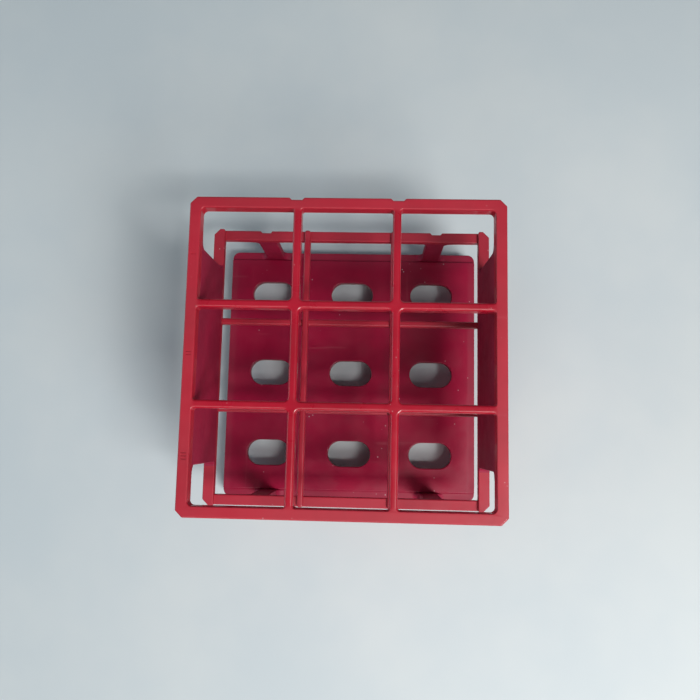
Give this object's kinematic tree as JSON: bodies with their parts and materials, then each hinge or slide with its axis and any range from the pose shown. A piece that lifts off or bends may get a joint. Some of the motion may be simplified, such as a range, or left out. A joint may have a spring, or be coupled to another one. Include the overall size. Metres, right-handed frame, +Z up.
{
  "type": "test tube rack",
  "caption": "Open three-tier square rack that holds large test tubes upright in a grid of wells, on a slotted base plate.",
  "frame": {"origin": "on the bench, under the middle of the rack", "axes": "+Z up, +X to the right along the rows, +Y from the front to the back"},
  "size_m": [0.105, 0.105, 0.076],
  "materials": {
    "top_tier": "semi-gloss moulded red polypropylene",
    "middle_tier": "semi-gloss moulded red polypropylene",
    "bottom_tier": "satin moulded red polypropylene, lightly scuffed"
  },
  "bodies": {
    "root": {"top_grid": "top_tier", "end_wall_left": "top_tier", "end_wall_right": "top_tier", "side_rail_left": "middle_tier", "side_rail_right": "middle_tier", "divider_bar_left": "middle_tier", "divider_bar_right": "middle_tier", "beam_front": "middle_tier", "beam_back": "middle_tier", "crossbar_front": "middle_tier", "crossbar_back": "middle_tier", "leg_front_left": "middle_tier", "leg_front_right": "middle_tier", "leg_back_left": "middle_tier", "leg_back_right": "middle_tier", "runner_front": "bottom_tier", "runner_back": "bottom_tier", "base_plate": "bottom_tier"}
  },
  "joints": []
}
